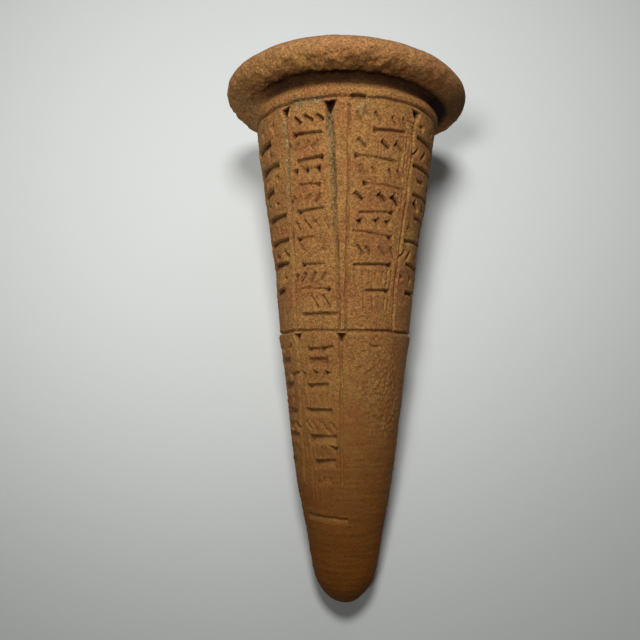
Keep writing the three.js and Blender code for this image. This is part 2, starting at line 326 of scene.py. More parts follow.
def register(rules, top, bottom, seed):
    """The ruled lines from one line round the cone to another, and the panels between them."""
    around = (rules[0][0] + 360, rules[0][1] + 360)
    for i, (rule, after) in enumerate(zip(rules, [*rules[1:], around])):
        upper, lower, width, dirt, head, bars = rule
        begin = top - RULE_DROP
        head_top, head_end = (begin + RULE_HEAD_RISE, upper), (begin - (head - 1) * MM, upper)
        mark(WEDGE, head_top, head_end, head * MM, RULE_HEAD_STEEPNESS * head * MM)
        wavering((begin, upper), (bottom, lower), width * MM, RULE_DEPTH, dirt)
        if bars:
            panel(rule, after, top, bottom, bars * MM, seed + i)


register(UPPER_RULES, WRITING_TOP, RING_STATION, UPPER_SEED)
register(LOWER_RULES, RING_STATION, LOWER_PANELS_END, LOWER_SEED)
mark(LINE, *END_LINE, END_WIDTH, END_DEPTH)
for station, dirt in ((RING_STATION, RING_DIRT), (WRITING_TOP, TOP_DIRT)):
    ends = (station, -LAPPED_HALF_TURN), (station, LAPPED_HALF_TURN)
    wavering(*ends, ROUND_WIDTH, ROUND_DEPTH, dirt)
for station, angle, turn, comb_turn, number, spacing, length in COMBS:
    for k in range(number):
        head = reach(station * MM, angle, comb_turn, k * spacing * MM)
        uneven_turn = turn + COMB_TURN_SPREAD * (chance(k + station) - 0.5)
        uneven_length = length * MM * (COMB_SHORTEST + COMB_LENGTH_SPREAD * chance(7 * k + station))
        mark(LINE, head, reach(*head, uneven_turn, uneven_length), COMB_WIDTH, COMB_DEPTH)
for station, angle, turn, length, width, depth in SINGLES:
    start = (station * MM, angle)
    tool = LINE if width < SINGLE_WEDGE_FROM else WEDGE
    mark(tool, start, reach(*start, turn, length * MM), width * MM, depth * MM)

places, tools, headings, sizes, dirts = zip(*prints)
reed_points = bpy.data.meshes.new("reed_prints")
reed_points.from_pydata(places, [], [])
for name, kind, values in (("tool", "INT", tools), ("heading", "FLOAT", headings), ("dirt", "FLOAT", dirts)):
    reed_points.attributes.new(name, kind, "POINT").data.foreach_set("value", values)
sides = [side for size in sizes for side in size]
reed_points.attributes.new("size", "FLOAT_VECTOR", "POINT").data.foreach_set("vector", sides)
reed_prints = bpy.data.objects.new("reed_prints", reed_points)
# The reed's corner presses a wedge with a steep head, and its edge a groove with one steep side.
CORNER = [(0, -0.5, 0), (0, 0.5, 0), (1, 0, 0), (0.15, 0, -1)], [(0, 1, 3), (1, 2, 3), (2, 0, 3)]
EDGE = (
    [(0, -0.5, 0), (0, 0.5, 0), (1, -0.5, 0), (1, 0.5, 0), (0, 0.25, -1), (1, 0.25, -1)],
    [(0, 2, 5, 4), (1, 3, 5, 4), (0, 1, 4), (2, 3, 5)],
)
reed_ends = []
for name, (vertices, faces) in (("reed_corner", CORNER), ("reed_edge", EDGE)):
    end_mesh = bpy.data.meshes.new(name)
    end_mesh.from_pydata(vertices, [], faces)
    reed_ends.append(bpy.data.objects.new(name, end_mesh))
for made in (reed_prints, *reed_ends):
    bpy.context.scene.collection.objects.link(made)


# The cone's clay: baked river clay, sandy and matt, orange brown and darker towards the nose. Its pits and
# ruled lines hold old grey dirt with pale grit, and the crease under the rim and the deepest prints are
# darkened with painted shade and grime.
def add(tree, kind, links=None, **settings):
    """Adds a node with its settings, and links or sets its inputs by name or number.

    By number, a Map Range has its value at 0, the range it comes from at 1 and 2, and the range it goes to
    at 3 and 4. A Mix has its share at 0, and mixes 2 with 3, or vectors 4 with 5, or colours 6 with 7.
    """
    made = tree.nodes.new(kind)
    for name, value in settings.items():
        setattr(made, name, value)
    for key, value in (links or {}).items():
        if isinstance(value, bpy.types.Node):
            value = value.outputs[0]
        if isinstance(value, bpy.types.NodeSocket):
            tree.links.new(value, made.inputs[key])
        else:
            made.inputs[key].default_value = value
    return made


def linear(hex_colour):
    """An sRGB hex colour as linear values with full opacity."""
    parts = [int(hex_colour[i : i + 2], 16) / 255 for i in (1, 3, 5)]
    return tuple(c / 12.92 if c <= 0.04045 else ((c + 0.055) / 1.055) ** 2.4 for c in parts) + (1,)


FIRED_RED, FIRED_TAN = linear("#875831"), linear("#906838")
# The head's tan is painted light on the rim, and the palest tan is a painted highlight for the edges beside
# the prints.
NOSE_BROWN, HEAD_PAINTED_LIGHT, EDGE_HIGHLIGHT = linear("#6e3e0c"), linear("#99704a"), linear("#b98a57")
EARTH_DARK, EARTH_PALE, SHADE_AND_GRIME = linear("#4a381b"), linear("#8f744b"), linear("#1e0b02")
MOTTLE_SIZE, RAGGED_SIZE = 7 * MM, 1.3 * MM
SAND_SIZE, GRAIN_SIZE, GRAIN_HEIGHT = 0.36 * MM, 0.25 * MM, 0.12 * MM
# Where a change in the clay begins, where it is full and how strong it is there: by station for the darker
# nose, the head painted paler as painted light on the rim, and the sand worn smooth, and by the burr beside
# a print for its painted highlight.
NOSE_DARK_FROM, NOSE_DARK_FULL, NOSE_DARK_SHARE = 62 * MM, 14 * MM, 0.9
HEAD_FROM, HEAD_FULL, HEAD_SHARE = 120 * MM, 124 * MM, 0.7
SMOOTH_FROM, SMOOTH_FULL, SMOOTH_SHARE = 62 * MM, 42 * MM, 0.6
EDGE_HIGHLIGHT_FROM, EDGE_HIGHLIGHT_FULL, EDGE_HIGHLIGHT_SHARE = 0.08 * MM, 0.35 * MM, 0.5
# By the depth of a print: how little of the nose's darkening is inside it, and where its painted shade and
# grime
# begin and are full. By station: towards the nose the prints have the least of it.
PRINT_DEEP, PRINT_SHALLOW, PRINT_DARKENED = 0.5 * MM, 0.05 * MM, 0.15
SHADE_GRIME_FROM, SHADE_GRIME_FULL = 0.4 * MM, 1.1 * MM
PALEST_PRINTS_TO, DARKEST_PRINTS_FROM, LEAST_SHADE_GRIME = 50 * MM, 66 * MM, 0.3
# Specks as (spacing, radius, share of the cells that have one, colour), sizes in millimetres.
PINHOLES = (1.1, 0.27, 0.55, "#3a1f08")
TAN_GRAINS = (1.5, 0.22, 0.35, "#a87d4a")
LIME_GRAINS = (0.7, 0.22, 0.5, "#b5a480")
CRUST_GRAINS = (0.6, 0.24, 0.5, "#a98a5c")
PINHOLE_STRENGTH, TAN_STRENGTH, SPECK_CORE = 0.45, 0.4, 0.5

clay = bpy.data.materials.new("baked_river_clay")
clay.use_nodes = True
tree = clay.node_tree
tree.nodes.clear()
place = add(tree, "ShaderNodeTexCoord").outputs["Object"]
station, pressed, dirt, crust, crease, burr = (
    add(tree, "ShaderNodeAttribute", attribute_name=name).outputs["Fac"]
    for name in ("station", "pressed", "dirt", "crust", "crease", "burr")
)
# The fired colour is mottled and darker towards the nose, but hardly inside the prints there, whose paler
# facets are painted light. The head is painted paler, as painted light on the rim, and the edges beside the
# prints carry a painted highlight.
mottle = add(
    tree, "ShaderNodeTexNoise", {"Vector": place, "Scale": 1 / MOTTLE_SIZE, "Detail": 6.0, "Roughness": 0.65}
)
mottled = add(tree, "ShaderNodeMapRange", {0: mottle, 1: 0.35, 2: 0.65})
fired = add(tree, "ShaderNodeMix", {0: mottled, 6: FIRED_RED, 7: FIRED_TAN}, data_type="RGBA").outputs[2]
towards_nose = add(tree, "ShaderNodeMapRange", {0: station, 1: NOSE_DARK_FROM, 2: NOSE_DARK_FULL, 4: NOSE_DARK_SHARE})
unpressed = add(tree, "ShaderNodeMapRange", {0: pressed, 1: PRINT_DEEP, 2: PRINT_SHALLOW, 3: PRINT_DARKENED})
darkened = add(tree, "ShaderNodeMath", {0: towards_nose, 1: unpressed}, operation="MULTIPLY")
darker_nose = add(tree, "ShaderNodeMix", {0: darkened, 6: fired, 7: NOSE_BROWN}, data_type="RGBA").outputs[2]
painted_head_light = add(tree, "ShaderNodeMapRange", {0: station, 1: HEAD_FROM, 2: HEAD_FULL, 4: HEAD_SHARE})
body = add(tree, "ShaderNodeMix", {0: painted_head_light, 6: darker_nose, 7: HEAD_PAINTED_LIGHT}, data_type="RGBA").outputs[2]
# A painted highlight: the burr beside every print is painted paler, on all its sides.
painted_highlight = add(tree, "ShaderNodeMapRange", {0: burr, 1: EDGE_HIGHLIGHT_FROM, 2: EDGE_HIGHLIGHT_FULL, 4: EDGE_HIGHLIGHT_SHARE})
highlighted = add(tree, "ShaderNodeMix", {0: painted_highlight, 6: body, 7: EDGE_HIGHLIGHT}, data_type="RGBA").outputs[2]
# Sand: each grain is a cell about as wide as coarse sand, lighter or darker than its neighbours, and less so
# where the nose is worn smooth.
sand = add(tree, "ShaderNodeTexVoronoi", {"Vector": place, "Scale": 1 / SAND_SIZE})
sand_value = add(tree, "ShaderNodeSeparateColor", {0: sand.outputs["Color"]})
grain = add(tree, "ShaderNodeTexNoise", {"Vector": place, "Scale": 1 / GRAIN_SIZE, "Detail": 2.0})
sand_shade = add(tree, "ShaderNodeMapRange", {0: sand_value, 3: 0.64, 4: 1.36})
grain_shade = add(tree, "ShaderNodeMapRange", {0: grain, 1: 0.3, 2: 0.7, 3: 0.66, 4: 1.34})
rough_shade = add(tree, "ShaderNodeMath", {0: sand_shade, 1: grain_shade}, operation="MULTIPLY")
smoothness = add(tree, "ShaderNodeMapRange", {0: station, 1: SMOOTH_FROM, 2: SMOOTH_FULL, 4: SMOOTH_SHARE})
shade = add(tree, "ShaderNodeMix", {0: smoothness, 2: rough_shade, 3: 1.0})
sandy = add(tree, "ShaderNodeVectorMath", {0: highlighted, "Scale": shade}, operation="SCALE")
# Dirt: dark earth in and beside the dirty lines, with a ragged edge.
ragged = add(tree, "ShaderNodeTexNoise", {"Vector": place, "Scale": 1 / RAGGED_SIZE, "Detail": 3.0})
ragged_dirt = add(tree, "ShaderNodeMath", {0: ragged, 1: 1.5, 2: dirt}, operation="MULTIPLY_ADD")
dirtiness = add(tree, "ShaderNodeMapRange", {0: ragged_dirt, 1: 1.2, 2: 1.8, 4: 0.85})
earth_mix = {0: sand_value.outputs[1], 6: EARTH_DARK, 7: EARTH_PALE}
earth = add(tree, "ShaderNodeMix", earth_mix, data_type="RGBA").outputs[2]
dirtied = add(tree, "ShaderNodeMix", {0: dirtiness, 6: sandy, 7: earth}, data_type="RGBA").outputs[2]
# Specks: dark pinholes and tan grains all over, grains of lime in the dirt, and pale grains in the crust.
speckled = dirtied
for (spacing, radius, share, colour), where in (
    (PINHOLES, PINHOLE_STRENGTH),
    (TAN_GRAINS, TAN_STRENGTH),
    (LIME_GRAINS, dirtiness),
    (CRUST_GRAINS, crust),
):
    cells = add(tree, "ShaderNodeTexVoronoi", {"Vector": place, "Scale": 1 / (spacing * MM)})
    drawn = add(tree, "ShaderNodeSeparateColor", {0: cells.outputs["Color"]})
    edge, core = radius / spacing, SPECK_CORE * radius / spacing
    round_speck = add(tree, "ShaderNodeMapRange", {0: cells.outputs["Distance"], 1: edge, 2: core})
    has_speck = add(tree, "ShaderNodeMapRange", {0: drawn, 1: share, 2: share * 0.5})
    any_speck = add(tree, "ShaderNodeMath", {0: round_speck, 1: has_speck}, operation="MULTIPLY")
    speck = add(tree, "ShaderNodeMath", {0: any_speck, 1: where}, operation="MULTIPLY")
    speck_mix = {0: speck, 6: speckled, 7: linear(colour)}
    speckled = add(tree, "ShaderNodeMix", speck_mix, data_type="RGBA").outputs[2]
# Painted shade and grime: dark in the crease under the rim and in the deepest prints, less towards the nose.
deepest = add(tree, "ShaderNodeMapRange", {0: pressed, 1: SHADE_GRIME_FROM, 2: SHADE_GRIME_FULL})
towards_head = add(tree, "ShaderNodeMapRange", {0: station, 1: PALEST_PRINTS_TO, 2: DARKEST_PRINTS_FROM, 3: LEAST_SHADE_GRIME})
in_prints = add(tree, "ShaderNodeMath", {0: deepest, 1: towards_head}, operation="MULTIPLY")
shade_grime_mask = add(tree, "ShaderNodeMath", {0: crease, 1: in_prints}, operation="MAXIMUM")
shaded_grimed = add(tree, "ShaderNodeMix", {0: shade_grime_mask, 6: speckled, 7: SHADE_AND_GRIME}, data_type="RGBA").outputs[2]
bump = add(tree, "ShaderNodeBump", {"Strength": 0.7, "Distance": GRAIN_HEIGHT, "Height": grain})
coarse_bump = add(
    tree,
    "ShaderNodeBump",
    {"Strength": 0.5, "Distance": GRAIN_HEIGHT, "Height": sand.outputs["Distance"], "Normal": bump},
)
shader = add(
    tree,
    "ShaderNodeBsdfPrincipled",
    {
        "Base Color": shaded_grimed,
        "Roughness": 0.92,
        "IOR": 1.45,
        "Specular IOR Level": 0.15,
        "Normal": coarse_bump,
    },
)
add(tree, "ShaderNodeOutputMaterial", {"Surface": shader})

# The cone itself: turned from the outline with the reed's prints pressed in, worn soft and gritty, and laid
# on the rim of its head and the side of its nose.
TILT = radians(10.93)
TIP = Vector((0.04, -63.77, 5.76)) * MM
HEAD_LEAN, HEAD_NOD, HEAD_BLEND = radians(1.9), radians(1.8), 10 * MM
BOW, BOW_LENGTH = 0.3 * MM, 40 * MM
FLARE_ANGLE, FLARE_REACH = radians(-100), radians(55)
RAY, SEAM_GAP = 5 * MM, 0.01 * MM
RAG_SIZE, WEAR_SIZE = 1.5 * MM, 6 * MM
# Crusted, darkened and rough patches as (station, angle, distance from the axis, radius), with sizes in
# millimetres.
CRUSTS = [(112, 7, 22, 3), (114, -30, 22, 3), (114, -20, 22, 3), (117.7, -74, 25.2, 7)]
DARK_PATCHES = [(120, 80, 27, 11)]
ROUGH = [(52, 32, 14, 10), (44, 45, 13, 8)]
PATCH_CORE = 0.3
CRUST_DIRT, DARK_PATCH_SHARE, ROUGH_GRAINS, ROUGH_GRIT = 0.8, 0.5, 0.6, 8.0
# The crease is darkened with painted shade and grime over these two stations and inside these two radii.
CREASE_START, CREASE_FULL, CREASE_SHADE_GRIME = 116.2 * MM, 117.6 * MM, 0.85
CREASE_EDGE, CREASE_INSIDE = 25.5 * MM, 23.5 * MM
# The rim's underside is crumbled outside these two radii and below these two stations, and less so on its
# right, between these two angles in radians.
CRUMBLE_INSIDE, CRUMBLE_FULL = 23.2 * MM, 24.2 * MM
CRUMBLE_TOP, CRUMBLE_LOW = 123.5 * MM, 120.5 * MM
LEAST_CRUMBLED, MOST_CRUMBLED, LEAST_CRUMBLE = 1.1, 0.2, 0.25
RING_LIP_LENGTH = 7 * MM
# The streaks' noise changes little across the axis, so that they run round it. The pits are only in cells
# that draw over the first of two shares, and are deepest over the second.
STREAK_WAY = (0.08, 1, 0.08)
PITS_FROM, PITS_FULL = 0.45, 0.9
MOST_TRIANGLES = 190_000

cone_mesh = bpy.data.meshes.new("foundation_cone_clay")
cone_mesh.from_pydata([(r, s, 0) for r, s in outline], [(i, i + 1) for i in range(len(outline) - 1)], [])
flares = [side for r, s in flared for side in (r, s, 0)]
cone_mesh.attributes.new("flared", "FLOAT_VECTOR", "POINT").data.foreach_set("vector", flares)
cone = bpy.data.objects.new("foundation_cone_clay", cone_mesh)
bpy.context.scene.collection.objects.link(cone)

moulding = bpy.data.node_groups.new("moulded_cone", "GeometryNodeTree")
moulding.interface.new_socket("Geometry", in_out="INPUT", socket_type="NodeSocketGeometry")
moulding.interface.new_socket("Geometry", in_out="OUTPUT", socket_type="NodeSocketGeometry")
SETTINGS = {
    "Prints": ("NodeSocketObject", reed_prints),
    "Reed corner": ("NodeSocketObject", reed_ends[0]),
    "Reed edge": ("NodeSocketObject", reed_ends[1]),
    "Columns": ("NodeSocketInt", 480),
    "Front crowding": ("NodeSocketFloat", 0.35),
    "Ragged edges": ("NodeSocketFloat", 0.25 * MM),
    "Dirt reach": ("NodeSocketInt", 6),
    "Softening": ("NodeSocketInt", 1),
    "Burr reach": ("NodeSocketInt", 9),
    "Burr": ("NodeSocketFloat", 0.8),
    "Lump size": ("NodeSocketFloat", 11 * MM),
    "Lump height": ("NodeSocketFloat", 0.8 * MM),
    "Dimple size": ("NodeSocketFloat", 3 * MM),
    "Dimple height": ("NodeSocketFloat", 0.16 * MM),
    "Grit size": ("NodeSocketFloat", 0.9 * MM),
    "Grit height": ("NodeSocketFloat", 0.1 * MM),
    "Streak size": ("NodeSocketFloat", 0.9 * MM),
    "Streak height": ("NodeSocketFloat", 0.34 * MM),
    "Ring lip": ("NodeSocketFloat", 0.35 * MM),
    "Rim crumble size": ("NodeSocketFloat", 2.6 * MM),
    "Rim crumble height": ("NodeSocketFloat", 2.2 * MM),
    "Pit spacing": ("NodeSocketFloat", 3.5 * MM),
    "Pit radius": ("NodeSocketFloat", 0.55 * MM),
    "Pit depth": ("NodeSocketFloat", 0.35 * MM),
    "Clay": ("NodeSocketMaterial", clay),
}
sockets = {}
for name, (kind, _) in SETTINGS.items():
    sockets[name] = moulding.interface.new_socket(name, in_out="INPUT", socket_type=kind)
given = add(moulding, "NodeGroupInput").outputs
rows = len(outline)

# The grid of the surface: each row is a point of the outline, each column an angle round the axis.
columns = add(moulding, "ShaderNodeMath", {0: given["Columns"], 1: 1.0}, operation="ADD")
grid = add(moulding, "GeometryNodeMeshGrid", {"Vertices X": columns, "Vertices Y": rows})
index = add(moulding, "GeometryNodeInputIndex")
whole_columns = add(moulding, "ShaderNodeMath", {0: index, 1: rows}, operation="DIVIDE")
column = add(moulding, "ShaderNodeMath", {0: whole_columns}, operation="FLOOR")
row = add(moulding, "ShaderNodeMath", {0: index, 1: rows}, operation="MODULO")
sweep = add(moulding, "ShaderNodeMapRange", {0: column, 2: given["Columns"], 3: -1.0, 4: 1.0})
cubed = add(moulding, "ShaderNodeMath", {0: sweep, 1: 3.0}, operation="POWER")
crowded = add(moulding, "ShaderNodeMix", {0: given["Front crowding"], 2: sweep, 3: cubed})
angle = add(moulding, "ShaderNodeMath", {0: crowded, 1: pi}, operation="MULTIPLY")
here = add(moulding, "GeometryNodeInputPosition")
from_flare = add(moulding, "ShaderNodeMath", {0: angle, 1: FLARE_ANGLE}, operation="SUBTRACT")
off_flare = add(moulding, "ShaderNodeMath", {0: from_flare}, operation="ABSOLUTE")
flare = add(
    moulding,
    "ShaderNodeMapRange",
    {0: off_flare, 1: FLARE_REACH, 2: FLARE_REACH / 3},
    interpolation_type="SMOOTHSTEP",
)
flared_place = add(
    moulding, "GeometryNodeInputNamedAttribute", {"Name": "flared"}, data_type="FLOAT_VECTOR"
)
on_outline, on_flared = (
    add(
        moulding,
        "GeometryNodeSampleIndex",
        {"Geometry": given["Geometry"], "Value": value, "Index": row},
        data_type="FLOAT_VECTOR",
    )
    for value in (here, flared_place)
)
drawn_place = add(moulding, "ShaderNodeMix", {0: flare, 4: on_outline, 5: on_flared}, data_type="VECTOR")
along = add(moulding, "ShaderNodeSeparateXYZ", {0: drawn_place.outputs[1]})
radius, station = along.outputs[0], along.outputs[1]

# The reed's prints, laid on the surface unrolled flat.
points = add(moulding, "GeometryNodeObjectInfo", {"Object": given["Prints"]}).outputs["Geometry"]
tool = add(moulding, "GeometryNodeInputNamedAttribute", {"Name": "tool"}, data_type="INT")
heading = add(moulding, "GeometryNodeInputNamedAttribute", {"Name": "heading"}, data_type="FLOAT")
size = add(moulding, "GeometryNodeInputNamedAttribute", {"Name": "size"}, data_type="FLOAT_VECTOR")
rotation = add(moulding, "ShaderNodeCombineXYZ", {2: heading})
pressed_in = add(moulding, "GeometryNodeJoinGeometry")
for number, name in ((WEDGE, "Reed corner"), (LINE, "Reed edge")):
    shape = add(moulding, "GeometryNodeObjectInfo", {"Object": given[name]}).outputs["Geometry"]
    chosen = add(moulding, "FunctionNodeCompare", {2: tool, 3: number}, data_type="INT", operation="EQUAL")
    placed = add(
        moulding,
        "GeometryNodeInstanceOnPoints",
        {"Points": points, "Selection": chosen, "Instance": shape, "Rotation": rotation, "Scale": size},
    )
    moulding.links.new(placed.outputs[0], pressed_in.inputs[0])
all_prints = add(moulding, "GeometryNodeRealizeInstances", {0: pressed_in})

# A ray from under each point of the unrolled surface finds how deep it is pressed. The ray starts a little
# aside, by a different amount from place to place, so that the prints have ragged edges.
arc = add(moulding, "ShaderNodeMath", {0: angle, 1: radius}, operation="MULTIPLY")
flat = add(moulding, "ShaderNodeCombineXYZ", {0: arc, 1: station, 2: -RAY})
rag = add(moulding, "ShaderNodeTexNoise", {"Vector": flat, "Scale": 1 / RAG_SIZE, "Detail": 1.0})
rag = rag.outputs["Color"]
rag_centred = add(moulding, "ShaderNodeVectorMath", {0: rag, 1: (0.5, 0.5, 0.5)}, operation="SUBTRACT")
rag_scale = {0: rag_centred, "Scale": given["Ragged edges"]}
aside = add(moulding, "ShaderNodeVectorMath", rag_scale, operation="SCALE")
aside_flat = add(moulding, "ShaderNodeVectorMath", {0: aside, 1: (1, 1, 0)}, operation="MULTIPLY")
below = add(moulding, "ShaderNodeVectorMath", {0: flat, 1: aside_flat}, operation="ADD")
print_dirt = add(moulding, "GeometryNodeInputNamedAttribute", {"Name": "dirt"}, data_type="FLOAT")
ray = add(
    moulding,
    "GeometryNodeRaycast",
    {
        "Target Geometry": all_prints,
        "Attribute": print_dirt,
        "Source Position": below,
        "Ray Direction": (0, 0, 1),
        "Ray Length": RAY,
    },
    data_type="FLOAT",
).outputs
depth = add(moulding, "ShaderNodeMath", {0: RAY, 1: ray["Hit Distance"]}, operation="SUBTRACT")
wear = add(moulding, "ShaderNodeTexNoise", {"Vector": flat, "Scale": 1 / WEAR_SIZE, "Detail": 2.0})
worn_share = add(moulding, "ShaderNodeMapRange", {0: wear, 1: 0.3, 2: 0.6, 3: 0.7, 4: 1.05})
kept = add(moulding, "ShaderNodeMath", {0: ray["Is Hit"], 1: worn_share}, operation="MULTIPLY")
pressed = add(moulding, "ShaderNodeMath", {0: depth, 1: kept}, operation="MULTIPLY")
dirty = add(moulding, "ShaderNodeMath", {0: ray["Attribute"], 1: ray["Is Hit"]}, operation="MULTIPLY")
geometry = grid
for name, value in (
    ("pressed", pressed),
    ("dirt", dirty),
    ("station", station),
    ("angle", angle),
    ("flare", flare),
):
    geometry = add(
        moulding,
        "GeometryNodeStoreNamedAttribute",
        {"Geometry": geometry, "Name": name, "Value": value},
        data_type="FLOAT",
        domain="POINT",
    )

# Rolled up round the axis, with the seam and the poles closed.
sine = add(moulding, "ShaderNodeMath", {0: angle}, operation="SINE")
cosine = add(moulding, "ShaderNodeMath", {0: angle}, operation="COSINE")
across = add(moulding, "ShaderNodeMath", {0: radius, 1: sine}, operation="MULTIPLY")
upward = add(moulding, "ShaderNodeMath", {0: radius, 1: cosine}, operation="MULTIPLY")
rolled_place = add(moulding, "ShaderNodeCombineXYZ", {0: across, 1: station, 2: upward})
rolled = add(moulding, "GeometryNodeSetPosition", {"Geometry": geometry, "Position": rolled_place})
closed = add(moulding, "GeometryNodeMergeByDistance", {"Geometry": rolled, "Distance": SEAM_GAP})
raw, found_dirt, at_station, at_angle, at_flare = (
    add(moulding, "GeometryNodeInputNamedAttribute", {"Name": name}, data_type="FLOAT")
    for name in ("pressed", "dirt", "station", "angle", "flare")
)

# Dirt spread a little beyond its lines, and crust in some patches.
spread = add(
    moulding, "GeometryNodeBlurAttribute", {"Value": found_dirt, "Iterations": given["Dirt reach"]}
)
patched = []
for patches in (CRUSTS, DARK_PATCHES, ROUGH):
    covered = 0.0
    for patch_station, patch_angle, out, patch_radius in patches:
        turned = radians(patch_angle)
        middle = Vector((out * sin(turned), patch_station, out * cos(turned))) * MM
        away = add(moulding, "ShaderNodeVectorMath", {0: here, 1: middle}, operation="DISTANCE")
        edge, core = patch_radius * MM, PATCH_CORE * patch_radius * MM
        within = add(moulding, "ShaderNodeMapRange", {0: away.outputs["Value"], 1: edge, 2: core})
        covered = add(moulding, "ShaderNodeMath", {0: within, 1: covered}, operation="MAXIMUM")
    patched.append(covered)
crust, dark_patch, rough = patched
all_dirt = add(moulding, "ShaderNodeMath", {0: crust, 1: CRUST_DIRT, 2: spread}, operation="MULTIPLY_ADD")
grains = add(moulding, "ShaderNodeMath", {0: rough, 1: ROUGH_GRAINS, 2: crust}, operation="MULTIPLY_ADD")

# The crease is the part of the neck that the rim overhangs, darkened with painted shade under the rim and
# grime.
flattened = add(moulding, "ShaderNodeVectorMath", {0: here, 1: (1, 0, 1)}, operation="MULTIPLY")
out_from_axis = add(moulding, "ShaderNodeVectorMath", {0: flattened}, operation="LENGTH").outputs["Value"]
collar_range = {0: at_station, 1: CREASE_START, 2: CREASE_FULL, 4: CREASE_SHADE_GRIME}
above_collar = add(moulding, "ShaderNodeMapRange", collar_range)
inside = add(moulding, "ShaderNodeMapRange", {0: out_from_axis, 1: CREASE_EDGE, 2: CREASE_INSIDE})
below_face = add(moulding, "ShaderNodeMath", {0: at_station, 1: RIM_MIDDLE}, operation="LESS_THAN")
on_neck = add(moulding, "ShaderNodeMath", {0: above_collar, 1: below_face}, operation="MULTIPLY")
in_crease = add(moulding, "ShaderNodeMath", {0: on_neck, 1: inside}, operation="MULTIPLY")
unflared = add(moulding, "ShaderNodeMath", {0: 1.0, 1: at_flare}, operation="SUBTRACT")
open_crease = add(moulding, "ShaderNodeMath", {0: in_crease, 1: unflared}, operation="MULTIPLY")
# A patch on the right of the rim is darkened with the crease's colour.
patch_and_crease = {0: dark_patch, 1: DARK_PATCH_SHARE, 2: open_crease}
crease = add(moulding, "ShaderNodeMath", patch_and_crease, operation="MULTIPLY_ADD")

# Softened prints with a burr of clay beside them.
soft = add(moulding, "GeometryNodeBlurAttribute", {"Value": raw, "Iterations": given["Softening"]})
wide = add(moulding, "GeometryNodeBlurAttribute", {"Value": raw, "Iterations": given["Burr reach"]})
beside = add(moulding, "ShaderNodeMath", {0: wide, 1: soft}, operation="SUBTRACT", use_clamp=True)
burr = add(moulding, "ShaderNodeMath", {0: beside, 1: given["Burr"]}, operation="MULTIPLY")
relief = add(moulding, "ShaderNodeMath", {0: burr, 1: soft}, operation="SUBTRACT")

# Hand-made lumps, dimples and grit all over, streaks round the worn nose, and a crumbled lip along the
# underside of the rim.
outside = add(moulding, "ShaderNodeMapRange", {0: out_from_axis, 1: CRUMBLE_INSIDE, 2: CRUMBLE_FULL})
under = add(moulding, "ShaderNodeMapRange", {0: at_station, 1: CRUMBLE_TOP, 2: CRUMBLE_LOW})
leftward_range = {0: at_angle, 1: LEAST_CRUMBLED, 2: MOST_CRUMBLED, 3: LEAST_CRUMBLE, 4: 1.0}
leftward = add(moulding, "ShaderNodeMapRange", leftward_range)
under_rim = add(moulding, "ShaderNodeMath", {0: outside, 1: under}, operation="MULTIPLY")
crumbled = add(moulding, "ShaderNodeMath", {0: under_rim, 1: leftward}, operation="MULTIPLY")
worn_smooth = add(moulding, "ShaderNodeMapRange", {0: at_station, 1: RING_STATION, 2: RING_STATION / 2})
gritty = add(moulding, "ShaderNodeMath", {0: rough, 1: ROUGH_GRIT, 2: 1.0}, operation="MULTIPLY_ADD")
round_axis = add(moulding, "ShaderNodeVectorMath", {0: here, 1: STREAK_WAY}, operation="MULTIPLY")
for kind, detail, where, sampled in (
    ("Lump", 1.0, 1.0, here),
    ("Dimple", 2.0, 1.0, here),
    ("Grit", 2.0, gritty, here),
    ("Streak", 1.0, worn_smooth, round_axis),
    ("Rim crumble", 3.0, crumbled, here),
):
    scale = add(moulding, "ShaderNodeMath", {0: 1.0, 1: given[kind + " size"]}, operation="DIVIDE")
    noise = add(moulding, "ShaderNodeTexNoise", {"Vector": sampled, "Scale": scale, "Detail": detail})
    centred = add(moulding, "ShaderNodeMath", {0: noise, 1: 0.5}, operation="SUBTRACT")
    height = add(moulding, "ShaderNodeMath", {0: given[kind + " height"], 1: where}, operation="MULTIPLY")
    relief = add(moulding, "ShaderNodeMath", {0: centred, 1: height, 2: relief}, operation="MULTIPLY_ADD")

# The clay stands up in a low lip just below the line round the cone.
lip_range = {0: at_station, 1: RING_STATION - RING_LIP_LENGTH, 2: RING_STATION}
below_ring = add(moulding, "ShaderNodeMapRange", lip_range)
to_ring = add(moulding, "ShaderNodeMath", {0: at_station, 1: RING_STATION}, operation="LESS_THAN")
lip = add(moulding, "ShaderNodeMath", {0: below_ring, 1: to_ring}, operation="MULTIPLY")
lipped = {0: lip, 1: given["Ring lip"], 2: relief}
relief = add(moulding, "ShaderNodeMath", lipped, operation="MULTIPLY_ADD")

# Pits where grit has fallen out: one in some of the cells of a cell pattern.
pit_scale = add(moulding, "ShaderNodeMath", {0: 1.0, 1: given["Pit spacing"]}, operation="DIVIDE")
cells = add(moulding, "ShaderNodeTexVoronoi", {"Vector": here, "Scale": pit_scale})
cell_size = {0: cells.outputs["Distance"], 1: given["Pit spacing"]}
from_middle = add(moulding, "ShaderNodeMath", cell_size, operation="MULTIPLY")
bowl = add(moulding, "ShaderNodeMapRange", {0: from_middle, 1: given["Pit radius"], 2: 0.0})
drawn = add(moulding, "ShaderNodeSeparateXYZ", {0: cells.outputs["Color"]})
fallen = add(moulding, "ShaderNodeMapRange", {0: drawn, 1: PITS_FROM, 2: PITS_FULL, 4: -1.0})
pit = add(moulding, "ShaderNodeMath", {0: bowl, 1: fallen}, operation="MULTIPLY")
pitted = {0: pit, 1: given["Pit depth"], 2: relief}
relief = add(moulding, "ShaderNodeMath", pitted, operation="MULTIPLY_ADD")
for name, value in (("dirt", all_dirt), ("crust", grains), ("crease", crease), ("burr", beside)):
    closed = add(
        moulding,
        "GeometryNodeStoreNamedAttribute",
        {"Geometry": closed, "Name": name, "Value": value},
        data_type="FLOAT",
        domain="POINT",
    )
normal = add(moulding, "GeometryNodeInputNormal")
push = add(moulding, "ShaderNodeVectorMath", {0: normal, "Scale": relief}, operation="SCALE")
worn = add(moulding, "GeometryNodeSetPosition", {"Geometry": closed, "Offset": push})

